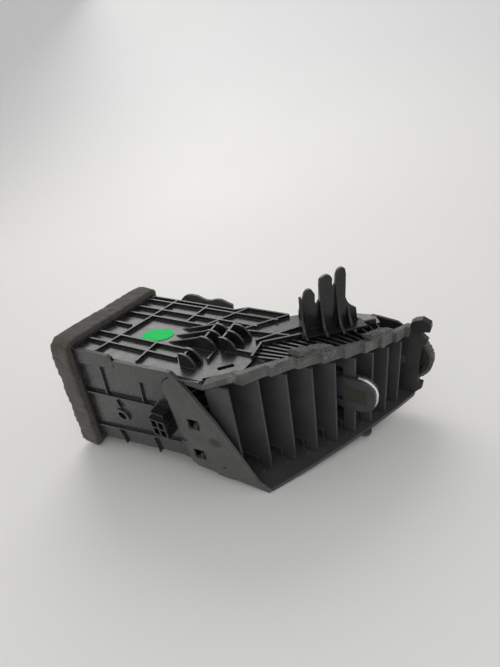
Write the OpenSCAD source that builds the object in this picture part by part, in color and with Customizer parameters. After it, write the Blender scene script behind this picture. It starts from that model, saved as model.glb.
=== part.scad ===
// Oblique dashboard air outlet: a duct with a foam inlet gasket, a slanted row of upright vanes
// with a sliding knob, level louvres behind them, and a shut-off flap worked by a thumbwheel.
// Design frame: X across the duct, -Y towards the outlet, Z along the vanes.
// seat() turns the design frame onto the surface that the vent stands on.

/* [Duct] */
// Width of the duct between its outer walls
duct_w = 73; // [72:1:74]
// Height of the left wall's top edge at the inlet, above the vane floor
duct_h = 78; // [76:1:80]
// Thickness of the moulded walls
wall = 1.6; // [1.4:0.1:1.8]
// Height of the lattice ribs
rib_h = 2.2; // [1.5:0.1:3]
// Thickness of the lattice ribs
rib_t = 1.2; // [1:0.1:1.5]

/* [Outlet] */
// Number of upright vanes
vane_count = 9; // [9]
// Distance between vanes across the duct
vane_pitch = 11.65; // [11.5:0.05:11.7]
// Thickness of a vane
vane_t = 1.8; // [1.6:0.1:2]
// Distance from a vane's pivot to its front edge
vane_front = 10; // [9.5:0.5:10]
// Distance from a vane's pivot to its rear edge
vane_rear = 15; // [14:0.5:15]
// Height of the rim above the vanes
rim_h = 7.5; // [6.5:0.5:8]

/* [Controls] */
// Height of the knob
knob_h = 25; // [24:0.5:26]
// Thickness of the knob
knob_t = 6; // [5.6:0.1:6.2]
// Radius of the thumbwheel with its tread
wheel_r = 20; // [19.5:0.5:20.5]
// Radius of the cranks that join the wheel and the flap
crank_r = 12; // [11:0.5:12]

/* [Gasket] */
// Thickness of the gasket along the duct
foam_t = 15; // [12:1:16]
// How far the gasket stands out round the duct
foam_out = 6; // [4:0.5:6.5]

/* [Hidden] */
$fn = 48;

// Slopes of the duct's faces in the design frame
drop_x = 0.18;
rise_top = 0.068;
rise_bottom = 0.235;
rise_split = 0.163;
inlet_lean = 0.1558;
split_z0 = 41.3;
bottom_z0 = -7;
tilt = atan(drop_x);
pitch = atan(rise_top * cos(tilt));
big = 220;
pin_r = 1.2;
bore_r = 1.26;

// Where the vent stands: lean and roll of the design frame, and the box's bottom centre
lean = 7.125;
roll = -10.13;
seat_shift = [-51.47, 78.23, 17.19];

// Lower edge of the duct's left wall: it rises to the waist and then runs level
waist_y = -62;
bottom_end_y = -84;
floor_t = 3;

// Right end of the outlet
cheek_x = 112;
flare_y = -106;
wide_w = 78.6;
wide_y = -76;
cheek_y = -147;
boss_top = 3;
shoulder_x = 88;
shoulder_z = 72.2;
shoulder_low = 57.6;

// Row of vanes
vane_x0 = 6;
vane_gap_z = 0.6;
link_z = 3;
link_t = 2;
link_crank = 10;
link_cut_z = 6.2;
driver = 6;

// Knob
knob_z = 31;
knob_front = 13.3;
knob_rise = 5;

// Louvres
louvre_z = [15, 31, 47, 63];
louvre_dir = -33;
louvre_a = [3.5, -66];
louvre_len = 86;
louvre_half = 8.5;
louvre_t = 1.6;
louvre_crank = 6;
arm_louvre = 2;
arm_foot = 79;

// Flap
flap_y = -24;
flap_z = 38.5;
flap_half = 26;
crank_angle = -130;

// Thumbwheel
wheel_x = 114.2;
wheel_t = 5;
wheel_y = -167.4;
wheel_z = 27;
rod_x = 121.2;
lever_x = 77.8;

function top_z(y) = duct_h - rise_top * y;
function split_z(y) = split_z0 - rise_split * y;
function bottom_z(y) = y > waist_y ? bottom_z0 - rise_bottom * y
    : y > bottom_end_y ? bottom_z0 - rise_bottom * waist_y
    : bottom_z0 - rise_bottom * waist_y - 0.16 * (y - bottom_end_y);
function inlet_y(z) = inlet_lean * (duct_h - z);
function front_y(x) = -99.5 - 1.08 * x + 0.0037 * x * x;
function lip_y(x) = -120.2 - 0.64 * x + 0.001 * x * x;
function rim_z(x) = duct_h - 0.165 * ((x - 30) + sqrt((x - 30) * (x - 30) + 64));
function comb_y(x) = x < 42.6 ? -109.6 + 0.154 * (x - 27)
    : x < 88 ? -107.2 - 1.097 * (x - 42.6)
    : -157;
function vane_x(k) = vane_x0 + vane_pitch * (k - 1);
function pivot_y(k) = front_y(vane_x(k)) + vane_front;

module seat() {
    translate(seat_shift) rotate([lean, roll, 0]) children();
}

// Side outline in Y and Z, drawn at the left wall and run across the duct at its slope
module across(outline) {
    points = [for (p = outline) [p[0], p[1] * cos(tilt)]];
    rotate([0, tilt, 0]) translate([-50, 0, 0]) rotate([90, 0, 90]) linear_extrude(big) polygon(points);
}

// Plan outline in X and Y, as a tall prism
module plan(outline) {
    translate([0, 0, -60]) linear_extrude(big) polygon(outline);
}

// Outline in Y and Z, extruded along X from x0
module slab_x(x0, t, outline) {
    translate([x0, 0, 0]) rotate([90, 0, 90]) linear_extrude(t) polygon(outline);
}

// Outline in X and Z, extruded along -Y from y0
module slab_y(y0, t, outline) {
    translate([0, y0, 0]) rotate([90, 0, 0]) linear_extrude(t) polygon(outline);
}

// Cylinder along X
module rod_along_x(r, h) {
    rotate([0, 90, 0]) cylinder(r = r, h = h);
}

// Frame of the sloped top face: u across, v along the duct, w out of the face
module top_face() {
    translate([0, 0, duct_h]) rotate([0, tilt, 0]) rotate([-pitch, 0, 0]) children();
}

// Place on the top face of the design point [x, y]
function on_top(p) = let (v = p[1] / cos(pitch)) [(p[0] + v * sin(pitch) * sin(tilt)) / cos(tilt), v];

// Lattice rib on the top face between two design points
module top_rib(a, b, h = rib_h) {
    p = on_top(a);
    q = on_top(b);
    run = norm(q - p);
    turn = atan2(q[1] - p[1], q[0] - p[0]);
    top_face() translate([p[0], p[1], 0]) rotate([0, 0, turn]) translate([0, -rib_t / 2, -0.6])
        cube([run, rib_t, h + 0.6]);
}

// Rib on the left wall between two points given as [y, z]
module side_rib(a, b, h = 1.3) {
    run = norm(b - a);
    turn = atan2(b[1] - a[1], b[0] - a[0]);
    translate([0, a[0], a[1]]) rotate([turn, 0, 0]) translate([-h, 0, -rib_t / 2])
        cube([h + 0.4, run, rib_t]);
}

// Strips of side wall, open at the inlet and at the outlet
module wall_plan() {
    outer = [
        [0, 30], [0, -94], [60, -125], [cheek_x, cheek_y], [cheek_x, cheek_y + 1],
        [wide_w, flare_y], [wide_w, wide_y], [duct_w, wide_y + 5], [duct_w, 30]
    ];
    inner = [
        [wall, 31], [wall, -130], [cheek_x - wall, -170], [cheek_x - wall, cheek_y + 0.4],
        [wide_w - wall, flare_y - 0.6], [wide_w - wall, wide_y - 0.8], [duct_w - wall, wide_y + 4.2],
        [duct_w - wall, 31]
    ];
    difference() {
        plan(outer);
        plan(inner);
    }
}

// Space below the top face, ahead of the inlet plane
module under_top(drop = 0) {
    across([
        [inlet_y(duct_h), duct_h - drop],
        [-200, top_z(-200) - drop],
        [-200, -60],
        [inlet_y(-60), -60]
    ]);
}

module top_skin() {
    outline = [
        [0, 30], [0, -93.8], [2.8, -93.8], [14.4, -107.2], [18, -109.6], [27, comb_y(27)], [42.6, comb_y(42.6)], [88, comb_y(88)],
        [93, -158], [110, -150], [cheek_x, cheek_y], [cheek_x, cheek_y + 1], [wide_w, flare_y],
        [wide_w, wide_y], [duct_w, wide_y + 5], [duct_w, 30]
    ];
    intersection() {
        across([
            [inlet_y(duct_h), duct_h], [-200, top_z(-200)], [-200, top_z(-200) - wall],
            [inlet_y(duct_h - wall), duct_h - wall]
        ]);
        plan(outline);
    }
}

// Sloping shoulder over the right end of the outlet, w deep
module shoulder(w) {
    slab_y(-100, 90, [
        [shoulder_x, shoulder_z], [cheek_x + 1, shoulder_low], [cheek_x + 1, shoulder_low + w],
        [shoulder_x, shoulder_z + w]
    ]);
}

// Upright wall between the top face and the vane ceiling, along the comb's back edge
module comb_riser() {
    edge = [[27, comb_y(27)], [42.6, comb_y(42.6)], [88, comb_y(88)], [93, -158]];
    back = [[93, -156], [89, -154.8], [43.2, -105], [27, -107.4]];
    above = [for (x = [20 : 5 : 100]) [x, rim_z(x) + boss_top]];
    intersection() {
        under_top();
        plan(concat(edge, back));
        slab_y(-100, 70, concat(above, [[100, 110], [20, 110]]));
    }
}

// One comb fin, from the riser down to the back of the rim
module comb_fin(x) {
    back = comb_y(x);
    front = front_y(x) + 4.8;
    low = rim_z(x) + boss_top;
    slab_x(x - 0.5, 1, [
        [back + 1, low], [back + 1, top_z(back) - drop_x * x], [front, rim_z(x) + 6.5], [front, low]
    ]);
}

module comb() {
    for (x = [30.5 : 3.9 : 92]) comb_fin(x);
}

// Quarter-round fin on the top face, standing at design point p and falling towards the outlet
module arch_fin(p, r, t) {
    q = on_top(p);
    top_face() translate([q[0] - t / 2, q[1], -0.6]) rotate([90, 0, 90]) linear_extrude(t)
        intersection() {
            circle(r = r);
            translate([-r, 0]) square([r + 2, r]);
        }
}

// Long wedge fin that rises from the top face to an arch
module wedge_fin(x, y_low, y_high, h, t) {
    p = on_top([x, y_low]);
    q = on_top([x, y_high]);
    top_face() translate([q[0] - t / 2, 0, -0.6]) rotate([90, 0, 90]) linear_extrude(t)
        polygon([[p[1], 0.5], [q[1], 0], [q[1], h]]);
}

// Cross web on the top face between two design points
module web(a, b, h) {
    top_rib(a, b, h - 0.6);
}

module arch_posts() {
    fin_t = 1.4;
    for (x = [27, 35, 43]) {
        wedge_fin(x, -52 + 0.1 * (x - 27), -78, 9, fin_t);
        arch_fin([x, -78], 9, fin_t);
        arch_fin([x + 3, -89], 9, fin_t);
    }
    web([26.4, -79], [46, -76], 8.5);
    web([29.4, -89], [49, -86], 8.5);
    for (x = [8.5, 14.5]) arch_fin([x, -77], 8.5, fin_t);
    web([7.9, -78], [15.1, -77], 7.5);
}

module lattice() {
    edge_x = duct_w - 0.8;
    for (x = [11, 20.3]) top_rib([x, -0.5], [x + 1, -70]);
    top_rib([33.7, -0.5], [33.7, -17]);
    top_rib([47.6, -1], [48.4, -62]);
    top_rib([56.5, -1.5], [58, -95]);
    top_rib([67.4, -3], [69, -103]);
    top_rib([edge_x, -4], [edge_x, -70.4]);
    top_rib([edge_x, -70.4], [77.4, -77]);
    top_rib([77.4, -76.6], [77.4, -106]);
    top_rib([0.6, -18.5], [edge_x, -24.4]);
    top_rib([0.6, -50.3], [22.3, -48]);
    top_rib([48.6, -49.4], [edge_x, -50]);
    top_rib([49.8, -64.6], [77.4, -77.5]);
    top_rib([51, -87.5], [77.4, -106.5]);
    top_rib([43.2, -102.3], [66.1, -119]);
    top_rib([16.6, -87.5], [26, -86]);
    top_rib([27, -109], [42.2, -106.8], 2.6);
    top_rib([42.6, -107.4], [88, -157], 2.6);
    top_rib([48, -62], [54.6, -118]);
    top_rib([30.6, -94], [31, -107.5]);
}

// Ring of the inlet flange between two heights at the left wall
module flange(z_low, z_high) {
    lip = 1.6;
    t = 1.6;
    intersection() {
        difference() {
            plan([[-lip, 30], [-lip, -20], [duct_w + lip, -20], [duct_w + lip, 30]]);
            intersection() {
                plan([[wall, 31], [wall, -21], [duct_w - wall, -21], [duct_w - wall, 31]]);
                across([[40, duct_h - wall], [-40, duct_h - wall], [-40, -8.4], [40, -8.4]]);
            }
        }
        across([
            [inlet_y(z_high), z_high], [inlet_y(z_low), z_low],
            [inlet_y(z_low) - t, z_low], [inlet_y(z_high) - t, z_high]
        ]);
    }
}

// Hem and ledges along the top of the left wall
module left_hem() {
    slab_x(-1.6, 1.9, [[-1, 68], [-1, 79], [-12, 80.8], [-30, 82.6], [-32.4, 81.6], [-33, 79], [-32, 73.6], [-20, 71.2]]);
    slab_x(-2, 2.4, [[-33.6, 80], [-51, 82.3], [-73, 85.6], [-75.4, 85.4], [-80.4, 81.9], [-73, 81.8], [-66, 71.6], [-47, 69], [-33.6, 66.8]]);
    slab_x(-1.2, 1.6, [[-80, 82], [-93.6, 84.2], [-93.6, 83], [-80, 80.8]]);
}

// Room for the end plate and its clips in the left wall
module plate_pocket() {
    plate_frame() slab_x(-0.8, wall + 1, [
        [-66.7, 73.2], [-69.4, 78.6], [-73.8, 81.5], [-79, 81.5], [-84.5, 73.2], [-96.5, 51.2], [-100, 42],
        [-100, -20], [-66, -20], [-66, 30]
    ]);
    translate([-0.6, -130, -20]) cube([3.4, 56.8, 97.6]);
}

// Room for the louvres' left bearing in the walls
module bearing_pocket() {
    louvre_frame() translate([-0.8, -2.6, 9.8]) cube([2, 5.2, 69.6]);
}

// Room for the block on the left wall
module locator_pocket() {
    translate([-12, -65.4, 32]) cube([11.95, 11.8, 22]);
}

module duct_top_shell() {
    flap_stop = [
        [flap_y - 4, duct_h + 2], [flap_y - 2.4, duct_h + 2],
        [flap_y - 2.4, flap_z + flap_half - 1], [flap_y - 4, flap_z + flap_half - 1]
    ];
    color([0.14, 0.14, 0.15]) seat() difference() {
        union() {
            top_skin();
            intersection() {
                wall_plan();
                under_top();
                across([[30, split_z(30) + 0.1], [-200, split_z(-200) + 0.1], [-200, 110], [30, 110]]);
            }
            flange(split_z(6) + 0.1, duct_h + 2);
            comb_riser();
            comb();
            lattice();
            arch_posts();
            left_hem();
            intersection() {
                translate([0, 0, -wall]) shoulder(wall);
                plan([
                    [88, -157], [93, -158], [109.6, -150.4], [110.1, -147.2], [cheek_x, cheek_y],
                    [cheek_x, cheek_y + 1], [88, -117.3]
                ]);
            }
            side_rib([-15, 44.4], [-20, 78]);
            side_rib([-46, 49.4], [-50, 80]);
            side_rib([5, 41], [-62, 52], 2);
            intersection() {
                across(flap_stop);
                plan([[0.8, 0], [0.8, -60], [duct_w - 0.8, -60], [duct_w - 0.8, 0]]);
                under_top(0.8);
            }
        }
        translate([10, -96, 70]) rotate([0, tilt, -42]) cube([9, 3, 30]);
        translate([-10, flap_y, flap_z]) rod_along_x(2.4, 120);
        shoulder(60);
        plate_pocket();
        bearing_pocket();
        locator_pocket();
        // Room for the ceiling's bosses, the rim's left corner and the bracket's base
        for (k = [1 : vane_count])
            translate([vane_x(k), pivot_y(k), rim_z(vane_x(k)) - 2]) cylinder(r = 2.9, h = 5.3);
        bracket_frame() translate([-0.4, -9.4, -0.1]) cube([37.8, 11.8, 20]);
    }
}

module bottom_panel() {
    low = [for (y = [inlet_y(-10.2), waist_y, bottom_end_y]) [y, bottom_z(y)]];
    high = [for (y = [bottom_end_y, waist_y, inlet_y(-8.6)]) [y, bottom_z(y) + wall]];
    intersection() {
        across(concat(low, high));
        plan([
            [0, 30], [0, bottom_end_y], [wide_w, bottom_end_y], [wide_w, wide_y], [duct_w, wide_y + 5],
            [duct_w, 30]
        ]);
    }
}

// Oval boss round the fixing hole in the left wall
module screw_boss() {
    translate([-1.4, -20.8, 27.2]) rotate([0, 90, 0]) cylinder(r = 5.6, h = 4.4);
}

module duct_bottom_shell() {
    flap_stop = [
        [flap_y + 4, bottom_z0 + 2], [flap_y + 2.4, bottom_z0 + 2],
        [flap_y + 2.4, flap_z - flap_half + 1], [flap_y + 4, flap_z - flap_half + 1]
    ];
    color([0.13, 0.13, 0.14]) seat() difference() {
        union() {
            bottom_panel();
            intersection() {
                wall_plan();
                across([
                    [30, split_z(30) - 0.1], [-200, split_z(-200) - 0.1], [-200, bottom_z(-200)],
                    [bottom_end_y, bottom_z(bottom_end_y)], [waist_y, bottom_z(waist_y)],
                    [inlet_y(-10.2), bottom_z(inlet_y(-10.2))], [inlet_y(split_z(6)), split_z(6) - 0.1]
                ]);
                union() {
                    plan([[-1, 30], [-1, bottom_end_y], [90, bottom_end_y], [90, 30]]);
                    translate([60, -160, 0.2]) cube([60, 100, 100]);
                }
            }
            flange(-12.5, split_z(6) - 0.1);
            screw_boss();
            side_rib([10, 5.6], [-69, 23.7], 1.6);
            side_rib([-22, 35], [-21, 41]);
            side_rib([-13.5, -4], [-11, 9], 1.6);
            side_rib([-44, 1.5], [-43, 14], 1.6);
            for (x = [4, 38, 70]) slab_x(x, rib_t, [
                [-12, bottom_z(-12) - drop_x * x + 0.4], [-16, bottom_z(-16) - drop_x * x - 3.2],
                [-44, bottom_z(-44) - drop_x * x - 4], [-50, bottom_z(-50) - drop_x * x + 0.4]
            ]);
            intersection() {
                across(flap_stop);
                plan([[0.8, 0], [0.8, -60], [duct_w - 0.8, -60], [duct_w - 0.8, 0]]);
                across([[30, bottom_z(30) + 0.8], [-60, bottom_z(-60) + 0.8], [-60, 60], [30, 60]]);
            }
            // Foot that carries the right side of the vent
            intersection() {
                translate([66, -81, -60]) cube([8, 6, 60]);
                across([[-60, 8.4], [-100, 8.4], [-100, -17.6 + 12.5], [-60, -17.6 + 7.5]]);
            }
        }
        translate([-10, -20.8, 27.2]) rod_along_x(3.2, 20);
        translate([-10, flap_y, flap_z]) rod_along_x(2.4, 120);
        plate_pocket();
        bearing_pocket();
        locator_pocket();
    }
}

// Waste outside a rounded upper corner, run along the duct; side is -1 on the left and 1 on the right
module corner_cut(x, z, r, side) {
    translate([x, 60, z]) rotate([90, 0, 0]) linear_extrude(100) difference() {
        polygon([[0, 0], [0, r + 9], [side * (r + 3), r + 9], [side * (r + 3), 0]]);
        circle(r = r);
        translate([side > 0 ? -1 : 0, 0]) square([1, r + 0.1]);
    }
}

// Foam ring on the inlet face
module inlet_gasket() {
    lean_deg = atan(inlet_lean);
    t = foam_t;
    z_top = duct_h + foam_out;
    z_low = bottom_z(12) - foam_out - 2;
    color([0.32, 0.28, 0.25]) seat() intersection() {
        difference() {
            plan([
                [-foam_out, 60], [-foam_out, -30], [duct_w + foam_out, -30], [duct_w + foam_out, 60]
            ]);
            intersection() {
                plan([[wall, 61], [wall, -31], [duct_w - wall, -31], [duct_w - wall, 61]]);
                across([[60, duct_h - wall], [-60, duct_h - wall], [-60, -8.4], [60, -8.4]]);
            }
            // Rounded upper corners
            for (c = [[3, 9, -1], [duct_w + 1, 5, 1]]) corner_cut(c[0], z_top - drop_x * c[0] - c[1] - 0.3, c[1], c[2]);
        }
        across([
            [inlet_y(z_top) + 0.05, z_top], [inlet_y(z_low) + 0.05, z_low],
            [inlet_y(z_low) + t, z_low + t * sin(lean_deg)], [inlet_y(z_top) + t, z_top - 0.5]
        ]);
    }
}

// Skin above the vanes, with a boss and a bore for each upper pivot
module vane_ceiling() {
    xs = [for (x = [2.2 : 6 : 110]) x];
    skin = concat([for (x = xs) [x, rim_z(x)]], [for (i = [len(xs) - 1 : -1 : 0]) [xs[i], rim_z(xs[i]) + wall]]);
    front = [for (x = xs) [x, front_y(x) + 4]];
    back = [
        [109.8, -149], [93, -154], [88, -152], [60, -121], [42.6, -105], [34, -107.2], [27, -107.6], [21, -97],
        [16, -90], [2.2, -84]
    ];
    color([0.13, 0.13, 0.14]) seat() difference() {
        union() {
            intersection() {
                slab_y(-60, 140, skin);
                plan(concat(front, back));
            }
            for (k = [1 : vane_count])
                translate([vane_x(k), pivot_y(k), rim_z(vane_x(k)) + 0.4]) cylinder(r = 2.6, h = 2.4);
        }
        for (k = [1 : vane_count])
            translate([vane_x(k), pivot_y(k), rim_z(vane_x(k)) - 3]) cylinder(r = bore_r, h = 12);
    }
}

// Floor of the outlet with its front lip, and a bore for each lower pivot
module vane_floor() {
    front = [for (x = [4.9, 28, 55, 74, 97, 110]) [x, lip_y(x)]];
    side = [[cheek_x, -178.8], [cheek_x, cheek_y + 1], [wide_w, flare_y], [wide_w, -86], [2, -86], [2, -94]];
    color([0.2, 0.2, 0.21]) seat() difference() {
        union() {
            translate([0, 0, -floor_t]) linear_extrude(floor_t) polygon(concat(front, side, [[3.8, -109]]));
            slab_y(-84.3, 1.7, [[10, -2], [10, 6.6], [76, -4.6], [76, -6.4], [40, -3], [10, -3]]);
            // Round tab and clip tabs under the lip
            translate([70, lip_y(70) + 2.5, -floor_t - 1.6]) cylinder(r = 4.5, h = 2.2);
            for (x = [33, 46, 88]) translate([x, lip_y(x) + 1.6, -floor_t - 1.1]) cube([7, 2.4, 1.6]);
            // Small bosses beside the lower pivots
            for (k = [2 : vane_count]) translate([vane_x(k) - 3.4, pivot_y(k) - 4.6, -1]) cylinder(r = 1, h = 1.5);
        }
        for (k = [1 : vane_count]) translate([vane_x(k), pivot_y(k), -5]) cylinder(r = bore_r, h = 12);
    }
}

// One step of the rim in front of vane k: a thin slanted board that ends in a small jog
module rim_step(k) {
    x0 = vane_x(k) - vane_pitch * 0.62;
    x1 = min(x0 + vane_pitch, cheek_x - wall - 0.2);
    t = 2.4;
    intersection() {
        plan([
            [x0, front_y(x0) - 1.2], [x1, front_y(x1) + 1.2], [x1, front_y(x1) + 1.2 + t],
            [x0, front_y(x0) + 1.2 + t]
        ]);
        slab_y(-60, 140, [
            [x0, rim_z(x0) - 0.2], [x1, rim_z(x1) - 0.2], [x1, rim_z(x1) + rim_h],
            [x0, rim_z(x0) + rim_h]
        ]);
    }
}

module top_rim() {
    corner = [[-1.2, -95.2], [2, -98.8], [11.2, -109.6], [13.6, -109.6], [13.6, -107.6], [3.8, -95.2]];
    color([0.27, 0.27, 0.27]) seat() difference() {
        union() {
            for (k = [2 : vane_count + 1]) rim_step(k);
            intersection() {
                plan(corner);
                slab_y(-80, 50, [[-3, 79.7], [14, 79.4], [14, 84.6], [-3, 82.4]]);
            }
        }
        // Shallow recess in the left corner's front face
        translate([5, -103.4, 80.4]) rotate([0, 0, -49.5]) translate([0, -1.4, 0]) cube([8, 1.9, 2.6]);
        translate([vane_x(1), pivot_y(1), rim_z(vane_x(1)) - 2]) cylinder(r = 2.9, h = 5.3);
    }
}

// Foam strip stuck on the rim between two places along the row
module foam_strip(x0, x1) {
    xs = [for (i = [0 : 4]) x0 + (x1 - x0) * i / 4];
    front = [for (x = xs) [x, front_y(x) - 1.5]];
    back = [for (i = [4 : -1 : 0]) [xs[i], front_y(xs[i]) + 5.4]];
    intersection() {
        plan(concat(front, back));
        slab_y(-100, 90, [
            [x0, rim_z(x0) + rim_h + 0.5], [x1, rim_z(x1) + rim_h + 0.5],
            [x1, rim_z(x1) + rim_h + 4], [x0, rim_z(x0) + rim_h + 4]
        ]);
    }
}

module foam_strip_left() {
    color([0.4, 0.36, 0.34]) seat() foam_strip(34.5, 51);
}

module foam_strip_right() {
    color([0.4, 0.36, 0.34]) seat() foam_strip(73, 89);
}

// Slanted end plate, turned a little about the vanes' direction
module plate_frame() {
    translate([0, -72, 0]) rotate([0, 0, 5.12]) translate([-wall - 0.1, 72, 0]) children();
}

module left_plate() {
    outline = [
        [-67.2, 73.5], [-69.7, 78], [-74, 81], [-78.7, 81], [-84, 73], [-96, 51], [-116.6, 4],
        [-123.4, -0.5], [-122.4, -2.6], [-75, 4.3], [-71.9, 7.2], [-69.9, 25.2], [-73.4, 28.5],
        [-70.6, 31.2], [-69.1, 34.4]
    ];
    strip = [[-78.7, 81], [-84, 73], [-96, 51], [-116.6, 4], [-112, 4.2], [-92, 45], [-81.5, 71]];
    color([0.31, 0.31, 0.3]) seat() plate_frame() difference() {
        union() {
            slab_x(0, wall, outline);
            slab_x(-0.5, wall, strip);
            // Thin bead along the crease
            slab_x(-0.8, 1, [
                [-78.7, 81], [-81.5, 71], [-92, 45], [-112, 4.2], [-112.6, 4.2], [-92.5, 45], [-82, 71], [-79.3, 80.2]
            ]);
        }
        for (z = [40.5, 12.5]) translate([-5, z > 30 ? -84.2 : -82.4, z]) cube([10, 7.4, 9]);
        translate([-5, -96, 9.2]) cube([10, 3.4, 1.4]);
    }
}

// Two spring clips seated behind the square windows
module window_clips() {
    color([0.1, 0.1, 0.1]) seat() plate_frame() for (z = [40.5, 12.5]) {
        y = z > 30 ? -84.2 : -82.4;
        translate([wall + 0.1, y - 1, z - 1]) cube([1.2, 9.4, 1.2]);
        translate([wall + 0.1, y - 1, z + 8.4]) cube([1.2, 9.4, 1.2]);
        translate([wall + 0.1, y - 0.8, z - 0.6]) cube([1, 1.7, 9.6]);
        translate([wall - 0.6, y + 1.4, z + 4.2]) rotate([90, 0, 0]) translate([0, 0, -1.2])
            difference() {
                cylinder(r = 2.4, h = 2.4);
                translate([0, 0, -1]) cylinder(r = 1.5, h = 5);
                translate([1.6, -5, -1]) cube([5, 10, 5]);
            }
    }
}

module right_cheek() {
    x0 = cheek_x - wall;
    y0 = cheek_y - 0.3;
    zt = rim_z(cheek_x);
    color([0.28, 0.28, 0.28]) seat() difference() {
        union() {
            slab_x(x0, wall, [
                [y0, 0.1], [y0, 59], [-152, 59], [-164, zt + 7], [-172, zt + 2], [-178.4, zt + 2],
                [-179.2, 46], [-180, 40.3], [-179.5, 27.7], [-179.7, 13.2], [-180.9, 7.7], [-178.4, 0.1]
            ]);
            // Hook at the top front corner
            slab_x(x0, 4.4, [
                [-172, zt + 2.2], [-172, zt + 8], [-174.4, 61.3], [-178.5, 63], [-183.6, 60.7], [-184.2, 57],
                [-183.8, 54.7], [-178.4, 53.4], [-178.4, zt + 2.2]
            ]);
            // Front strips of the wheel's housing
            slab_x(x0, 3.2, [[-174, 46], [-178.4, 52.4], [-183.4, 48.1], [-180, 40.3], [-174, 40.3]]);
            slab_x(x0, 3.2, [[-174, 9], [-178.4, 0.1], [-183, 6.3], [-183.2, 10.9], [-180.9, 11], [-179.7, 13.2]]);
            translate([x0, wheel_y, wheel_z]) rod_along_x(5, 2.6);
        }
        translate([x0 - 5, wheel_y, wheel_z]) rod_along_x(2, 20);
        translate([x0 + 2, -180.5, 56.6]) cube([10, 5, 2.6]);
    }
}

// Frame of the fixing bracket on the top face, along the comb's edge
module bracket_frame() {
    a = on_top([61.5, -121.5]);
    turn = atan2(-50 / cos(pitch), 45.4 / cos(tilt));
    top_face() translate([a[0], a[1], 0.2]) rotate([0, 0, turn]) children();
}

// Three-pronged fixing bracket that stands on the top face by the comb
module hook_bracket() {
    plate = [
        [0, 0], [0, 13], [1.2, 18.5], [2.4, 21], [3.4, 24.2], [4.8, 25.8], [6.4, 26.3], [8, 25.4], [9.6, 22.5],
        [9.4, 17.5], [10.6, 16.4], [12, 18.6], [12.4, 30], [13.4, 31.4], [15, 32.4], [17, 32.9], [19, 31.9],
        [20, 30.2], [19.8, 26.4], [20.6, 25.2], [21.6, 26.6], [22, 31.6], [23, 34.2], [24.4, 35.3], [26.2, 35.5],
        [27.6, 34.5], [28.1, 31], [27.6, 17.5], [28.8, 14.2], [31, 11.4], [34, 9.4], [34.6, 3], [37, 0]
    ];
    fin = [
        [0, 0], [11, 0], [10.8, 0.9], [9.4, 1.5], [7.6, 2.1], [6.2, 3.1], [5.2, 4.6], [4.2, 6.8], [3.2, 9.6],
        [2.3, 13.2], [1.6, 18], [0.8, 22], [0, 24]
    ];
    color([0.06, 0.06, 0.07]) seat() bracket_frame() union() {
        translate([0, 2, 0]) rotate([90, 0, 0]) linear_extrude(2) polygon(plate);
        translate([0, -9, 0]) cube([37, 10.2, 1.6]);
        for (x = [0, 11.8, 21.6, 28.4]) translate([x, 0.1, 0]) rotate([90, 0, -90]) translate([0, 0, -1.4])
            linear_extrude(1.4) polygon([for (p = fin) [p[0], p[1] * (x > 25 ? 0.5 : x > 5 ? 1.2 : 0.95)]]);
    }
}

// Four-celled block on the left wall
module side_locator() {
    w = 11;
    h = 14.6;
    depth = 8;
    color([0.09, 0.09, 0.1]) seat() translate([-depth - 0.1, -65, 32.4]) difference() {
        union() {
            cube([depth, w, h]);
            translate([2, 1, h - 0.2]) cube([depth - 2, w - 2, 4]);
        }
        for (j = [0 : 1]) for (k = [0 : 1])
            translate([-1, 1.1 + j * (w - 1.1) / 2, 1.1 + k * (h - 1.1) / 2]) cube([6, (w - 3.3) / 2, (h - 3.3) / 2]);
    }
}

module green_dot() {
    c = on_top([31, -40.6]);
    color([0.04, 0.8, 0.36]) seat() top_face() translate([c[0], c[1], 0.04]) rotate([0, 0, -66]) linear_extrude(0.25)
        polygon([for (i = [0 : 47]) [10 * cos(i * 7.5), 7.4 * sin(i * 7.5)]]);
}

// Guard over the shut-off linkage, with a wavy top edge
module linkage_cover() {
    x0 = 84;
    wave = [
        [-15, 56], [-20, 61.4], [-23.4, 63.4], [-26.8, 64.3], [-32, 64.5], [-35.6, 63.3], [-39, 62.5],
        [-43, 63], [-46, 64.4], [-48.7, 65.4], [-52, 65.8], [-56, 64.5], [-60.5, 63.4], [-60.2, 60]
    ];
    color([0.33, 0.33, 0.33]) seat() difference() {
        union() {
            slab_x(x0, 1.6, concat([[-14, 10]], [for (p = wave) [p[0], p[1] + 1.4]], [[-59, 10]]));
            for (p = [[-17.5, 52], [-56.5, 52], [-17, 12.6]])
                translate([duct_w + 0.1, p[0], p[1]]) rod_along_x(2.4, x0 - duct_w + 0.6);
        }
        translate([x0 - 5, flap_y, flap_z]) rod_along_x(3.4, 20);
    }
}

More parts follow.
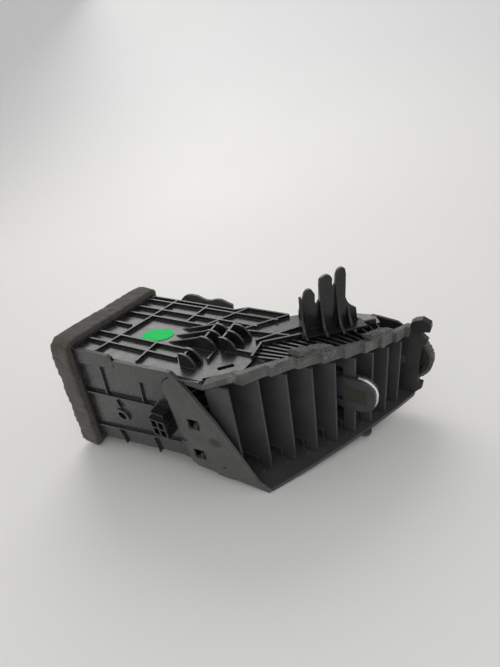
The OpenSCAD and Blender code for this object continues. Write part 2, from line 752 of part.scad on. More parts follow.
// One upright vane with its pins; the first vane is fixed and has no crank
module vane(k) {
    x = vane_x(k);
    rear = k == 1 ? 5.5 : vane_rear;
    top = rim_z(x) - vane_gap_z - (k > 2 ? 1.9 : 0);
    y = pivot_y(k);
    color([0.2, 0.2, 0.21]) seat() translate([x, y, 0]) difference() {
        union() {
            slab_x(-vane_t / 2, vane_t, [
                [-vane_front + 0.6, vane_gap_z], [-2.2, vane_gap_z], [-2.2, link_cut_z], [rear, link_cut_z],
                [rear, top], [-vane_front + 0.6, top]
            ]);
            translate([0, -vane_front + 0.9, vane_gap_z]) cylinder(r = 0.9, h = top - vane_gap_z);
            // Crank arm and its pin
            if (k > 1) slab_x(-1.2, 2.4, [
                [-1, link_cut_z], [link_crank + 1.4, link_cut_z], [link_crank + 1.4, link_cut_z + 2],
                [-1, link_cut_z + 2]
            ]);
            if (k > 1) translate([0, link_crank, link_z - 0.8]) cylinder(r = 1.1, h = link_cut_z - link_z + 1.4);
            // Pivot pins
            translate([0, 0, -floor_t + 0.2]) cylinder(r = pin_r, h = floor_t + link_cut_z);
            translate([0, 0, top - 3]) cylinder(r = pin_r, h = rim_z(x) - top + 5);
        }
        if (k == driver) knob_window();
    }
}

// Opening in the driver vane where the louvres' arm works
module knob_window() {
    translate([-5, -2.4, knob_z - 24]) cube([10, vane_rear + 5, 48]);
}

module vane_01() vane(1);
module vane_02() vane(2);
module vane_03() vane(3);
module vane_04() vane(4);
module vane_05() vane(5);
module vane_06() vane(6);
module vane_07() vane(7);
module vane_08() vane(8);
module vane_09() vane(9);

// Tie bar with an eye for each turning vane's crank pin
module vane_link() {
    color([0.16, 0.16, 0.17]) seat() translate([0, link_crank, link_z]) difference() {
        union() {
            for (k = [2 : vane_count]) translate([vane_x(k), pivot_y(k), 0]) cylinder(r = 2.2, h = link_t);
            for (k = [2 : vane_count - 1]) {
                dx = vane_pitch;
                dy = pivot_y(k + 1) - pivot_y(k);
                translate([vane_x(k), pivot_y(k), 0]) rotate([0, 0, atan2(dy, dx)])
                    translate([0, -1.4, 0]) cube([norm([dx, dy]), 2.8, link_t]);
            }
        }
        for (k = [2 : vane_count]) translate([vane_x(k), pivot_y(k), -1]) cylinder(r = 1.18, h = 5);
    }
}

module knob_place(up = knob_rise) {
    translate([vane_x(driver), pivot_y(driver), knob_z + up]) children();
}

// Knob body: wraps the driver vane's front edge and ends in a fork round the louvres' arm
module knob_body() {
    nose = vane_front + knob_front;
    slot = vane_t + 0.5;
    color([0.17, 0.17, 0.17]) seat() knob_place() difference() {
        translate([-knob_t / 2, 0, 0]) rotate([90, 0, 90]) linear_extrude(knob_t) difference() {
            union() {
                translate([-nose + 1, -knob_h / 2 + 1]) square([nose + 2.6, knob_h - 2]);
                translate([-nose + 4, -knob_h / 2]) square([nose - 4.4, knob_h]);
            }
            // Rounded nose corners
            for (s = [-1, 1]) difference() {
                translate([-nose - 1, s > 0 ? knob_h / 2 - 11 : -knob_h / 2 - 1]) square([12, 12]);
                translate([-nose + 11, s * (knob_h / 2 - 11)]) circle(r = 11);
            }
            // Fork gap
            translate([-2.6, -2 - knob_rise]) square([10, 4]);
        }
        // Slot for the vane's blade
        translate([-slot / 2, -vane_front - 0.2, -knob_h]) cube([slot, 40, 2 * knob_h]);
        // Recess for the grip inlay
        translate([-knob_t / 2 - 1, -17.5, -6.5]) cube([1.8, 13, 13]);
        // Recess for the bright edge
        translate([-0.9, 0, 0]) rotate([90, 0, 90]) linear_extrude(1.8) difference() {
            translate([-nose - 5, -knob_h / 2 - 5]) square([17.4, knob_h + 10]);
            knob_nose(nose - 0.8, knob_h / 2 - 0.8, 10.2);
        }
    }
}

// Filled nose outline: reach is the front, half the half height, r the corner radius
module knob_nose(reach, half, r) {
    for (s = [-1, 1]) translate([-reach + r, s * (half - r)]) circle(r = r);
    translate([-reach, -half + r]) square([reach, 2 * (half - r)]);
    translate([-reach + r, -half]) square([reach - r, 2 * half]);
}

// Bright edge that runs round the knob's nose
module knob_trim() {
    nose = vane_front + knob_front;
    color([0.9, 0.9, 0.92]) seat() knob_place() translate([-0.85, 0, 0]) rotate([90, 0, 90]) linear_extrude(1.7) intersection() {
        difference() {
            knob_nose(nose + 0.25, knob_h / 2 + 0.25, 11.25);
            knob_nose(nose - 0.75, knob_h / 2 - 0.75, 10.25);
        }
        translate([-nose - 5, -knob_h / 2 - 5]) square([16.9, knob_h + 10]);
    }
}

// Dimpled inlay on the knob's left face
module knob_grip() {
    color([0.15, 0.14, 0.12]) seat() knob_place() translate([-knob_t / 2 - 0.1, -17.4, -6.4]) difference() {
        cube([0.85, 12.8, 12.8]);
        for (j = [0 : 2]) for (k = [0 : 2])
            translate([-0.5, 2.6 + 3.8 * j, 2.6 + 3.8 * k]) rod_along_x(0.95, 0.9);
    }
}

// Frame of the louvres: u along their axis, v towards the inlet
module louvre_frame() {
    translate([louvre_a[0], louvre_a[1], 0]) rotate([0, 0, louvre_dir]) children();
}

module louvre(k) {
    z = louvre_z[k - 1];
    half = louvre_half - louvre_t / 2;
    color([0.15, 0.15, 0.16]) seat() louvre_frame() translate([0, 0, z]) union() {
        translate([0, 0, -louvre_t / 2]) linear_extrude(louvre_t) polygon([
            [3.6, -half], [louvre_len - 2, -half], [louvre_len - 2, 2.6], [louvre_len - 22, half], [3.6, half]
        ]);
        translate([3.6, -half, 0]) rod_along_x(louvre_t / 2, louvre_len - 5.6);
        translate([3.6, half, 0]) rod_along_x(louvre_t / 2, louvre_len - 25.6);
        translate([-0.2, 0, 0]) rod_along_x(pin_r, louvre_len + 1.4);
        // Crank pin for the tie bar
        translate([2.2, louvre_crank, 0]) rod_along_x(0.9, 3);
        translate([3, louvre_crank - 1.6, -1.4]) cube([1.4, 3.2, 2.8]);
    }
}

module louvre_01() louvre(1);
module louvre_02() louvre(2);
module louvre_03() louvre(3);
module louvre_04() louvre(4);

// Arm from the second louvre to the driver vane's pivot line, where the knob's fork holds its ball
module louvre_arm() {
    dx = vane_x(driver) - louvre_a[0];
    dy = pivot_y(driver) - louvre_a[1];
    ball = [dx * cos(louvre_dir) + dy * sin(louvre_dir), -dx * sin(louvre_dir) + dy * cos(louvre_dir)];
    foot = [arm_foot, -louvre_half - 1];
    run = norm(ball - foot);
    turn = atan2(ball[1] - foot[1], ball[0] - foot[0]);
    color([0.2, 0.2, 0.21]) seat() louvre_frame() translate([0, 0, louvre_z[arm_louvre - 1]]) union() {
        translate([foot[0], foot[1], 0]) rotate([0, 0, turn]) translate([0, -1, -0.9]) cube([run - 1, 2, 1.8]);
        translate([foot[0] - 5, -louvre_half - 1.9, -1.6]) cube([9, 1.85, 3.2]);
        translate([ball[0], ball[1], 0]) sphere(r = 1.8);
    }
}

// Upright tie bar of the louvres
module louvre_link() {
    z0 = louvre_z[0];
    z1 = louvre_z[len(louvre_z) - 1];
    color([0.2, 0.2, 0.21]) seat() louvre_frame() translate([0.6, louvre_crank, 0]) difference() {
        translate([0, -1.8, z0 - 2.4]) cube([1.8, 3.6, z1 - z0 + 4.8]);
        for (z = louvre_z) translate([-1, 0, z]) rod_along_x(0.98, 6);
    }
}

// Upright strip with a bore for each louvre's pin
module louvre_bearing(u, z_low, z_high) {
    louvre_frame() translate([u, 0, 0]) difference() {
        translate([0, -2.2, z_low]) cube([1.4, 4.4, z_high - z_low]);
        for (z = louvre_z) translate([-1, 0, z]) rod_along_x(bore_r, 6);
    }
}

module louvre_bearing_left() {
    color([0.16, 0.16, 0.17]) seat() louvre_bearing(-0.4, 10.6, 78.6);
}

module louvre_bearing_right() {
    color([0.16, 0.16, 0.17]) seat() louvre_bearing(louvre_len - 0.2, 0.2, 67.4);
}

// Thumbwheel: a dished disc with a crank pin on its outer face
module thumbwheel() {
    a = crank_angle;
    color([0.1, 0.1, 0.1]) seat() translate([wheel_x, wheel_y, wheel_z]) difference() {
        union() {
            rod_along_x(wheel_r - 2.2, wheel_t - 0.4);
            rod_along_x(4, wheel_t + 0.8);
            translate([wheel_t - 1, crank_r * cos(a), crank_r * sin(a)]) rod_along_x(1.5, 5);
        }
        translate([-1, 0, 0]) rod_along_x(2.06, 20);
        translate([-1, 0, 0]) difference() {
            rod_along_x(wheel_r - 5, 2.2);
            translate([-1, 0, 0]) rod_along_x(5.5, 6);
        }
    }
}

// Soft tread with fine notches
module wheel_tread() {
    notches = 40;
    color([0.33, 0.32, 0.26]) seat() translate([wheel_x, wheel_y, wheel_z]) difference() {
        rod_along_x(wheel_r, wheel_t);
        translate([-1, 0, 0]) rod_along_x(wheel_r - 2.15, wheel_t + 2);
        for (i = [0 : notches - 1]) rotate([i * 360 / notches, 0, 0])
            translate([-1, -0.5, wheel_r - 0.7]) cube([wheel_t + 2, 1, 2]);
    }
}

module wheel_axle() {
    color([0.55, 0.55, 0.56]) seat() translate([cheek_x - wall - 0.8, wheel_y, wheel_z]) union() {
        rod_along_x(1.98, wheel_t + 6.4);
        rod_along_x(3.4, 0.7);
        translate([wheel_t + 5.8, 0, 0]) rod_along_x(3.4, 0.9);
    }
}

// Shut-off flap with its shaft
module flap_plate() {
    x0 = 3.2;
    x1 = duct_w - 3.2;
    xm = duct_w / 2;
    color([0.16, 0.16, 0.17]) seat() translate([0, flap_y, flap_z]) union() {
        translate([0, 0, -0.9]) linear_extrude(1.8) polygon([
            [x0, -flap_half - drop_x * (x0 - xm)], [x1, -flap_half - drop_x * (x1 - xm)],
            [x1, flap_half - drop_x * (x1 - xm)], [x0, flap_half - drop_x * (x0 - xm)]
        ]);
        translate([0.1, 0, 0]) rod_along_x(2.35, lever_x - 0.2);
    }
}

// Foam edges of the flap
module flap_seal() {
    x0 = 3.2;
    x1 = duct_w - 3.2;
    xm = duct_w / 2;
    color([0.3, 0.3, 0.3]) seat() translate([0, flap_y, flap_z]) for (s = [-1, 1]) {
        a = s * flap_half + s * 0.02;
        translate([0, 0, -1.5]) linear_extrude(3) polygon([
            [x0, a - drop_x * (x0 - xm)], [x1, a - drop_x * (x1 - xm)],
            [x1, a + s * 2.4 - drop_x * (x1 - xm)], [x0, a + s * 2.4 - drop_x * (x0 - xm)]
        ]);
    }
}

// Lever on the flap's shaft, outside the right wall
module flap_lever() {
    a = crank_angle;
    color([0.2, 0.2, 0.21]) seat() translate([lever_x, flap_y, flap_z]) union() {
        rod_along_x(4, 2);
        rotate([a, 0, 0]) translate([0, 0, -2.1]) cube([2, crank_r, 4.2]);
        translate([0, crank_r * cos(a), crank_r * sin(a)]) rod_along_x(2.5, 2);
        translate([0, crank_r * cos(a), crank_r * sin(a)]) rod_along_x(1.4, 5.2);
    }
}

// Cranked rod from the thumbwheel's pin to the lever's pin
module wheel_rod() {
    a = crank_angle;
    cy = crank_r * cos(a);
    cz = crank_r * sin(a);
    zr = (wheel_z + flap_z) / 2 + cz;
    za = flap_z + cz;
    zb = wheel_z + cz;
    route = [[lever_x + 2.4, flap_y + cy + 2.6], [lever_x + 2.4, -104], [rod_x - 1.3, -141], [rod_x - 1.3, wheel_y + cy - 2.6]];
    path = concat([for (p = route) [p[0], p[1]]], [for (i = [3 : -1 : 0]) [route[i][0] + 2.4, route[i][1] + (i == 1 || i == 2 ? 1 : 0)]]);
    color([0.18, 0.18, 0.19]) seat() difference() {
        intersection() {
            plan(path);
            slab_x(0, 200, [
                [flap_y + cy + 3, za - 2.6], [flap_y + cy + 3, za + 2.6], [flap_y + cy - 3, za + 2.6],
                [wheel_y + cy + 3, zb + 2.6], [wheel_y + cy - 3, zb + 2.6], [wheel_y + cy - 3, zb - 2.6],
                [wheel_y + cy + 3, zb - 2.6], [flap_y + cy - 3, za - 2.6]
            ]);
        }
        translate([lever_x, flap_y + cy, za]) rod_along_x(1.46, 10);
        translate([rod_x - 5, wheel_y + cy, zb]) rod_along_x(1.56, 10);
    }
}

duct_top_shell();
duct_bottom_shell();
inlet_gasket();
vane_ceiling();
vane_floor();
top_rim();
foam_strip_left();
foam_strip_right();
left_plate();
window_clips();
right_cheek();
hook_bracket();
side_locator();
green_dot();
linkage_cover();
vane_01();
vane_02();
vane_03();
vane_04();
vane_05();
vane_06();
vane_07();
vane_08();
vane_09();
vane_link();
knob_body();
knob_trim();
knob_grip();
louvre_01();
louvre_02();
louvre_03();
louvre_04();
louvre_arm();
louvre_link();
louvre_bearing_left();
louvre_bearing_right();
thumbwheel();
wheel_tread();
wheel_axle();
flap_plate();
flap_seal();
flap_lever();
wheel_rod();
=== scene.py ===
"""Oblique dashboard air outlet: foam, materials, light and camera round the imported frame."""

import math

import bmesh
import bpy
from mathutils import Matrix, Vector, noise


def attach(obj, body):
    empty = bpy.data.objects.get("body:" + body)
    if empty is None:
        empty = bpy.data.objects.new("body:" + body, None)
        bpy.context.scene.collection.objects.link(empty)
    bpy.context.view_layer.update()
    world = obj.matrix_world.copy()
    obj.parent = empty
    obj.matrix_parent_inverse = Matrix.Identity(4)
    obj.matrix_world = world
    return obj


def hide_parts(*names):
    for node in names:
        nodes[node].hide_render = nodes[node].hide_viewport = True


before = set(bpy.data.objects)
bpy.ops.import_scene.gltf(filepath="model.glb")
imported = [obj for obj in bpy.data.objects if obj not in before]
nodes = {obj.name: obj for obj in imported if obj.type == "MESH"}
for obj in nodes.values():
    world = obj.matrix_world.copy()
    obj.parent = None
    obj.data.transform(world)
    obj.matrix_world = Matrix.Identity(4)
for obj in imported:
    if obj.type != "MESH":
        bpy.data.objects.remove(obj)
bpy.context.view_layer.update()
scene = bpy.context.scene
scene.view_settings.view_transform = "Standard"
MM = 0.001
SENSOR_MM = 36
LENS_MM = SENSOR_MM * 500 / 667
FLOOR_NEAR = -3.0
FLOOR_HALF_WIDTH = 4.0
BACKDROP_START = 0.46
BACKDROP_RADIUS = 0.55
BACKDROP_STEPS = 15
BACKDROP_TOP = 3.0
DUST = (0.45, 0.44, 0.42)
GRAIN_MM = 0.35

# The vent's own axes: X across the duct, -Y towards the outlet, Z along the vanes, in millimetres.
# It leans and rolls a little where it stands, and these are the lean, roll and shift of its CAD.
LEAN = math.radians(7.125)
ROLL = math.radians(-10.13)
SHIFT = Vector((-51.47, 78.23, 17.19)) * MM
SEAT = Matrix.Translation(SHIFT) @ Matrix.Rotation(ROLL, 4, "Y") @ Matrix.Rotation(LEAN, 4, "X")


def at(x, y, z):
    """A point in the vent's own axes, in millimetres, as a point of the row frame."""
    return SEAT @ (Vector((x, y, z)) * MM)


# ---------------------------------------------------------------- camera, light and floor

def make_camera():
    data = bpy.data.cameras.new("camera")
    data.lens = LENS_MM
    data.sensor_width = SENSOR_MM
    data.clip_start = 0.01
    data.clip_end = 20
    obj = bpy.data.objects.new("camera", data)
    right = Vector((0.51083, -0.84602, -0.15047))
    up = Vector((0.45862, 0.12045, 0.88029))
    back = right.cross(up).normalized()
    up = back.cross(right).normalized()
    obj.matrix_world = Matrix.Translation((-0.22490, -0.17602, 0.22009)) @ Matrix(
        (right.normalized(), up, back)).transposed().to_4x4()
    scene.collection.objects.link(obj)
    scene.camera = obj


def area_light(name, place, target, size, power, colour):
    data = bpy.data.lights.new(name, "AREA")
    data.shape = "DISK"
    data.size = size
    data.energy = power
    data.color = colour
    obj = bpy.data.objects.new(name, data)
    aim = (Vector(target) - Vector(place)).normalized()
    obj.location = place
    obj.rotation_mode = "QUATERNION"
    obj.rotation_quaternion = aim.to_track_quat("-Z", "Y")
    scene.collection.objects.link(obj)


def make_light():
    world = bpy.data.worlds.new("studio")
    world.use_nodes = True
    background = world.node_tree.nodes["Background"]
    background.inputs["Color"].default_value = (0.98, 0.99, 1.0, 1)
    background.inputs["Strength"].default_value = 0.78
    scene.world = world
    area_light("overhead", place=(0.72, 0.52, 0.86), target=(0.03, 0.0, 0.06), size=1.1, power=6.5,
               colour=(1.0, 0.985, 0.96))
    area_light("front", place=(-0.9, -0.8, 0.9), target=(0.03, -0.02, 0.04), size=1.0, power=3.2,
               colour=(0.97, 0.985, 1.0))


def make_floor():
    """A plain pale sheet that curves up into a backdrop far behind the object."""
    bm = bmesh.new()
    start, radius = BACKDROP_START, BACKDROP_RADIUS
    steps = [(FLOOR_NEAR, 0.0), (start, 0.0)]
    for k in range(1, BACKDROP_STEPS + 1):
        a = math.radians(90 * k / BACKDROP_STEPS)
        steps.append((start + radius * math.sin(a), radius - radius * math.cos(a)))
    steps.append((start + radius, BACKDROP_TOP))
    forward = Vector((0.9871, 0.1602, 0))
    side = Vector((forward.y, -forward.x, 0))
    rows = []
    for reach, rise in steps:
        rows.append([bm.verts.new(forward * reach + side * s + Vector((0, 0, rise)))
                     for s in (-FLOOR_HALF_WIDTH, FLOOR_HALF_WIDTH)])
    for a, b in zip(rows, rows[1:]):
        bm.faces.new((a[0], a[1], b[1], b[0]))
    mesh = bpy.data.meshes.new("floor")
    bm.to_mesh(mesh)
    bm.free()
    for p in mesh.polygons:
        p.use_smooth = True
    obj = bpy.data.objects.new("floor", mesh)
    scene.collection.objects.link(obj)
    mesh.materials.append(floor_material())


# ---------------------------------------------------------------- materials

class Graph:
    """A short way to write a material's nodes: calls that make a node return its output."""

    def __init__(self, name):
        self.material = bpy.data.materials.new(name)
        self.material.use_nodes = True
        self.tree = self.material.node_tree
        self.shader = self.tree.nodes["Principled BSDF"]
        coords = self.tree.nodes.new("ShaderNodeTexCoord")
        self.place = coords.outputs["Object"]

    def put(self, socket, value):
        if isinstance(value, bpy.types.NodeSocket):
            self.tree.links.new(value, socket)
        else:
            socket.default_value = value

    def set(self, **values):
        for key, value in values.items():
            self.put(self.shader.inputs[key.replace("_", " ")], value)

    def node(self, kind, **settings):
        made = self.tree.nodes.new(kind)
        for key, value in settings.items():
            setattr(made, key, value)
        return made

    def math(self, operation, a, b):
        n = self.node("ShaderNodeMath", operation=operation)
        for socket, value in zip(n.inputs, (a, b)):
            self.put(socket, value)
        return n.outputs[0]

    def ramp(self, value, low, high, to_low=0.0, to_high=1.0, smooth=False):
        n = self.node("ShaderNodeMapRange", clamp=True)
        if smooth:
            n.interpolation_type = "SMOOTHSTEP"
        for socket, v in zip(n.inputs, (value, low, high, to_low, to_high)):
            self.put(socket, v)
        return n.outputs[0]

    def mix(self, share, a, b):
        n = self.node("ShaderNodeMix", data_type="RGBA")
        self.put(n.inputs[0], share)
        for socket, value in zip((n.inputs[6], n.inputs[7]), (a, b)):
            self.put(socket, (*value, 1) if isinstance(value, tuple) and len(value) == 3 else value)
        return n.outputs[2]

    def scaled(self, stretch, turn=(0, 0, 0)):
        n = self.node("ShaderNodeMapping")
        self.put(n.inputs["Vector"], self.place)
        n.inputs["Scale"].default_value = stretch
        n.inputs["Rotation"].default_value = turn
        return n.outputs[0]

    def noise(self, size_mm, detail=3.0, rough=0.55, place=None, warp=0.0):
        n = self.node("ShaderNodeTexNoise")
        self.put(n.inputs["Vector"], place or self.place)
        n.inputs["Scale"].default_value = 1 / (size_mm * MM)
        n.inputs["Detail"].default_value = detail
        n.inputs["Roughness"].default_value = rough
        n.inputs["Distortion"].default_value = warp
        return n.outputs[0]

    def cells(self, size_mm):
        n = self.node("ShaderNodeTexVoronoi")
        self.put(n.inputs["Vector"], self.place)
        n.inputs["Scale"].default_value = 1 / (size_mm * MM)
        return n.outputs[0]

    def rounded(self, radius_mm):
        """The normal that the surface would have if its edges were rounded."""
        n = self.node("ShaderNodeBevel", samples=4)
        n.inputs["Radius"].default_value = radius_mm * MM
        return n.outputs[0]

    def edges(self, radius_mm, low, high):
        """1 on sharp edges, 0 on flats, from how far a rounded normal leans away from the face's own."""
        face = self.node("ShaderNodeNewGeometry")
        dot = self.node("ShaderNodeVectorMath", operation="DOT_PRODUCT")
        self.put(dot.inputs[0], self.rounded(radius_mm))
        self.put(dot.inputs[1], face.outputs["Normal"])
        return self.ramp(self.math("SUBTRACT", 1.0, dot.outputs["Value"]), low, high, smooth=True)

    def bump(self, height, depth_mm, strength, radius_mm=0.0):
        n = self.node("ShaderNodeBump")
        self.put(n.inputs["Height"], height)
        n.inputs["Distance"].default_value = depth_mm * MM
        n.inputs["Strength"].default_value = strength
        if radius_mm:
            self.put(n.inputs["Normal"], self.rounded(radius_mm))
        return n.outputs[0]


def plastic(name, dark, light, rough, grain=0.02, edge=0.35, radius=0.3, wear_and_highlight=(0.2, 0.2, 0.2),
            dust=0.05, specular=0.5, blotch_mm=14.0, patch=0.0, spots=()):
    """Moulded plastic: two tones in soft blotches, fine grain, dust, hair scratches and paler edges, which
    are partly edge wear and partly a painted highlight.

    patch adds patches of wear; spots holds (centre, radius in mm, colour) of round marks with ragged edges.
    """
    g = Graph(name)
    blotches = g.ramp(g.noise(blotch_mm, 4), 0.35, 0.65)
    base = g.mix(blotches, dark, light)
    specks = g.ramp(g.noise(0.9, 2, 0.7), 0.66, 0.8)
    base = g.mix(g.math("MULTIPLY", specks, dust), base, DUST)
    scratch = g.noise(1.0, 2, 0.5, place=g.scaled((0.06, 1.6, 1.0), (0.5, 0.3, 0.8)))
    scratch = g.ramp(scratch, 0.69, 0.73)
    base = g.mix(g.math("MULTIPLY", scratch, 0.18), base, wear_and_highlight)
    # Paler edges, convex and concave alike: partly edge wear, partly a painted highlight along the rounded
    # edges.
    rub_and_highlight = g.math("MULTIPLY", g.edges(radius, 0.02, 0.22), g.ramp(g.noise(2.2, 3), 0.35, 0.6, 0.35, 1.0))
    base = g.mix(g.math("MULTIPLY", rub_and_highlight, edge), base, wear_and_highlight)
    if patch:
        worn_out = g.ramp(g.noise(4.5, 5, 0.7, warp=0.6), 0.56, 0.64)
        base = g.mix(g.math("MULTIPLY", worn_out, patch), base, wear_and_highlight)
    for centre, radius_mm, colour in spots:
        away = g.node("ShaderNodeVectorMath", operation="DISTANCE")
        g.put(away.inputs[0], g.place)
        away.inputs[1].default_value = centre
        ragged = g.math("ADD", away.outputs["Value"], g.math("MULTIPLY", g.noise(2.6, 4, 0.7), 0.004))
        inside = g.ramp(ragged, (radius_mm + 2.2) * MM, (radius_mm + 1.4) * MM)
        base = g.mix(inside, base, colour)
    g.set(Base_Color=base)
    shine = g.ramp(g.noise(5.0, 4), 0.3, 0.7, rough - 0.06, rough + 0.08)
    shine = g.math("ADD", shine, g.math("MULTIPLY", scratch, 0.15))
    g.set(Roughness=shine, Specular_IOR_Level=specular)
    relief = g.math("ADD", g.noise(GRAIN_MM, 2, 0.6), g.math("MULTIPLY", g.noise(9.0, 2), 1.2))
    g.set(Normal=g.bump(relief, grain, 0.8, radius_mm=radius))
    return g.material


def foam_material(name, low, high, fleck):
    """Open-cell foam: small dark pores, pale flecks of cell wall and a soft dusty sheen."""
    g = Graph(name)
    pores = g.cells(0.75)
    tone = g.mix(g.ramp(g.noise(7.0, 4, 0.65), 0.36, 0.64), low, high)
    tone = g.mix(g.ramp(pores, 0.2, 0.62, 0.0, 0.55), tone, tuple(0.35 * c for c in low))
    flecks = g.ramp(g.noise(0.6, 3, 0.75), 0.6, 0.74)
    tone = g.mix(g.math("MULTIPLY", flecks, 0.7), tone, fleck)
    g.set(Base_Color=tone, Roughness=1.0, Specular_IOR_Level=0.15)
    g.set(Sheen_Weight=0.25, Sheen_Roughness=0.6)
    relief = g.math("ADD", pores, g.noise(0.8, 4, 0.7))
    g.set(Normal=g.bump(relief, 0.5, 1.0))
    return g.material


def sticker_material(name):
    """A printed paper dot: even green ink with a few scuffs."""
    g = Graph(name)
    tone = g.mix(g.ramp(g.noise(3.0, 4), 0.3, 0.7), (0.0, 0.5, 0.09), (0.0, 0.56, 0.11))
    scuff = g.ramp(g.noise(1.1, 4, 0.7, place=g.scaled((1, 0.5, 1))), 0.66, 0.72)
    tone = g.mix(g.math("MULTIPLY", scuff, 0.45), tone, (0.3, 0.75, 0.4))
    g.set(Base_Color=tone, Specular_IOR_Level=0.12)
    g.set(Roughness=g.ramp(g.noise(1.6, 3), 0.3, 0.7, 0.5, 0.65))
    g.set(Normal=g.bump(g.noise(0.5, 3), 0.02, 0.6, radius_mm=0.08))
    return g.material


def bright_material(name):
    """Bright satin trim with faint brushing and fingerprints."""
    g = Graph(name)
    brushed = g.noise(0.25, 2, 0.5, place=g.scaled((1, 1, 0.12)))
    g.set(Base_Color=g.mix(brushed, (0.78, 0.79, 0.8), (0.9, 0.9, 0.9)))
    g.set(Metallic=0.6, Roughness=g.ramp(g.noise(2.5, 3), 0.3, 0.7, 0.2, 0.36))
    g.set(Normal=g.bump(brushed, 0.004, 0.5, radius_mm=0.15))
    return g.material


def steel_material(name):
    g = Graph(name)
    turned = g.noise(0.3, 2, 0.5, place=g.scaled((0.1, 1, 1)))
    g.set(Base_Color=g.mix(turned, (0.42, 0.42, 0.43), (0.58, 0.58, 0.6)), Metallic=1.0)
    g.set(Roughness=g.ramp(g.noise(3.0), 0.3, 0.7, 0.25, 0.4))
    g.set(Normal=g.bump(turned, 0.006, 0.5))
    return g.material


def floor_material():
    g = Graph("pale_floor")
    tone = g.mix(g.noise(260.0, 3), (0.7, 0.688, 0.662), (0.72, 0.71, 0.686))
    # Painted shade: the sheet is painted darker as it rises into the backdrop, to take down the light that
    # falls on its upper part.
    height = g.node("ShaderNodeSeparateXYZ")
    g.put(height.inputs[0], g.place)
    tone = g.mix(g.ramp(height.outputs["Z"], 0.0, 0.25, smooth=True), tone, (0.66, 0.66, 0.66))
    g.set(Base_Color=tone, Roughness=g.ramp(g.noise(90.0, 3), 0.3, 0.7, 0.5, 0.6))
    g.set(Normal=g.bump(g.noise(1.5, 3), 0.02, 0.3))
    return g.material


def paint(material, *names):
    for n in names:
        data = nodes[n].data
        data.materials.clear()
        data.materials.append(material)


# ---------------------------------------------------------------- foam pieces

def foam_from(node, name, voxel_mm, smooth, lumps, material, body):
    """Foam that grows from a plain CAD solid: remeshed, rounded, then roughened at several sizes."""
    mesh = nodes[node].data.copy()
    obj = bpy.data.objects.new(name, mesh)
    scene.collection.objects.link(obj)
    remesh = obj.modifiers.new("remesh", "REMESH")
    remesh.mode = "VOXEL"
    remesh.voxel_size = voxel_mm * MM
    soften = obj.modifiers.new("soften", "SMOOTH")
    soften.factor = 0.5
    soften.iterations = smooth
    shaped = bpy.data.meshes.new_from_object(obj.evaluated_get(bpy.context.evaluated_depsgraph_get()))
    obj.modifiers.clear()
    obj.data = shaped
    for v in shaped.vertices:
        p = v.co / MM
        push = sum(depth * noise.noise(p / size + Vector((k * 7.3, 0, 0)))
                   for k, (size, depth) in enumerate(lumps))
        v.co += v.normal * push * MM
    for p in shaped.polygons:
        p.use_smooth = True
    shaped.materials.clear()
    shaped.materials.append(material)
    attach(obj, body)
    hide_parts(node)


make_camera()
make_light()
make_floor()

gloss = plastic("gloss_black", (0.007, 0.007, 0.008), (0.011, 0.011, 0.012), 0.27, edge=0.55,
                wear_and_highlight=(0.22, 0.22, 0.22), dust=0.03, specular=0.7)
jet = plastic("jet_black", (0.004, 0.004, 0.004), (0.008, 0.008, 0.008), 0.25, edge=0.35,
              wear_and_highlight=(0.16, 0.16, 0.16))
matte = plastic("matte_grey", (0.07, 0.07, 0.072), (0.085, 0.085, 0.086), 0.55, grain=0.05,
                wear_and_highlight=(0.26, 0.25, 0.24))
rim_grey = plastic("rim_grey", (0.05, 0.05, 0.048), (0.085, 0.085, 0.082), 0.5, grain=0.05, edge=0.7,
                   wear_and_highlight=(0.26, 0.255, 0.24), patch=0.4, blotch_mm=8.0)
plate_grey = plastic("plate_grey", (0.056, 0.056, 0.054), (0.075, 0.075, 0.072), 0.45, grain=0.04, edge=0.75,
                     wear_and_highlight=(0.34, 0.33, 0.31), spots=[(at(0.6, -92.2, 33), 4.0, (0.03, 0.019, 0.014))])
cheek_grey = plastic("cheek_grey", (0.016, 0.016, 0.016), (0.028, 0.028, 0.027), 0.42, grain=0.04, edge=0.5,
                     wear_and_highlight=(0.2, 0.2, 0.19), spots=[(at(112.5, -179, 58.5), 8.0, (0.006, 0.006, 0.006))])
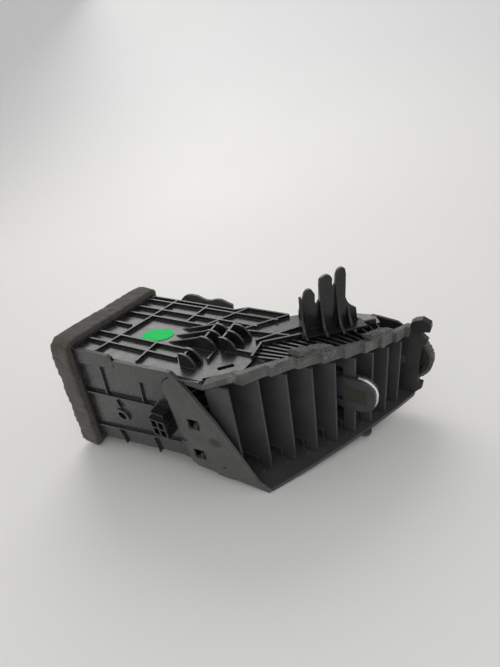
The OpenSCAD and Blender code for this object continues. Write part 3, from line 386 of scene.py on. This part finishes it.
vane_grey = plastic("vane_grey", (0.032, 0.032, 0.034), (0.04, 0.04, 0.042), 0.42, edge=0.7,
                    wear_and_highlight=(0.18, 0.18, 0.18), dust=0.03)
mech = plastic("mech_black", (0.006, 0.006, 0.006), (0.01, 0.01, 0.01), 0.55, edge=0.2)
foam = foam_material("foam", (0.036, 0.028, 0.019), (0.082, 0.066, 0.048), (0.3, 0.25, 0.185))
strip_foam = foam_material("strip_foam", (0.05, 0.044, 0.041), (0.1, 0.09, 0.084), (0.34, 0.31, 0.29))
grip = plastic("grip", (0.018, 0.018, 0.012), (0.028, 0.027, 0.018), 0.55, grain=0.04, edge=0.9, radius=0.25,
               wear_and_highlight=(0.12, 0.115, 0.08))
tread = plastic("tread", (0.05, 0.05, 0.036), (0.085, 0.083, 0.06), 0.6,
                wear_and_highlight=(0.6, 0.6, 0.55), edge=0.8, dust=0.4)

paint(gloss, "duct_top_shell", "duct_bottom_shell")
paint(jet, "hook_bracket", "side_locator")
paint(matte, "linkage_cover")
paint(rim_grey, "top_rim")
paint(plate_grey, "left_plate")
paint(cheek_grey, "right_cheek")
paint(vane_grey, *[n for n in nodes if n.startswith("vane_0")], "vane_floor", "knob_body")
paint(mech, "vane_ceiling", "window_clips", "vane_link", "louvre_01", "louvre_02", "louvre_03", "louvre_04",
      "louvre_arm", "louvre_link", "louvre_bearing_left", "louvre_bearing_right", "thumbwheel", "flap_plate",
      "flap_lever", "wheel_rod")
paint(sticker_material("green_sticker"), "green_dot")
paint(bright_material("bright_trim"), "knob_trim")
paint(grip, "knob_grip")
paint(tread, "wheel_tread")
paint(steel_material("steel"), "wheel_axle")

foam_from("inlet_gasket", "gasket_foam", voxel_mm=1.2, smooth=5, lumps=[(16, 0.9), (5, 0.5), (1.8, 0.3)],
          material=foam, body="housing")
for side in ("left", "right"):
    foam_from(f"foam_strip_{side}", f"strip_foam_{side}", voxel_mm=0.6, smooth=4,
              lumps=[(5, 0.8), (1.6, 0.5), (0.8, 0.25)], material=strip_foam, body="housing")
foam_from("flap_seal", "seal_foam", voxel_mm=0.7, smooth=2, lumps=[(4, 0.2), (1.2, 0.15)],
          material=foam, body="flap")
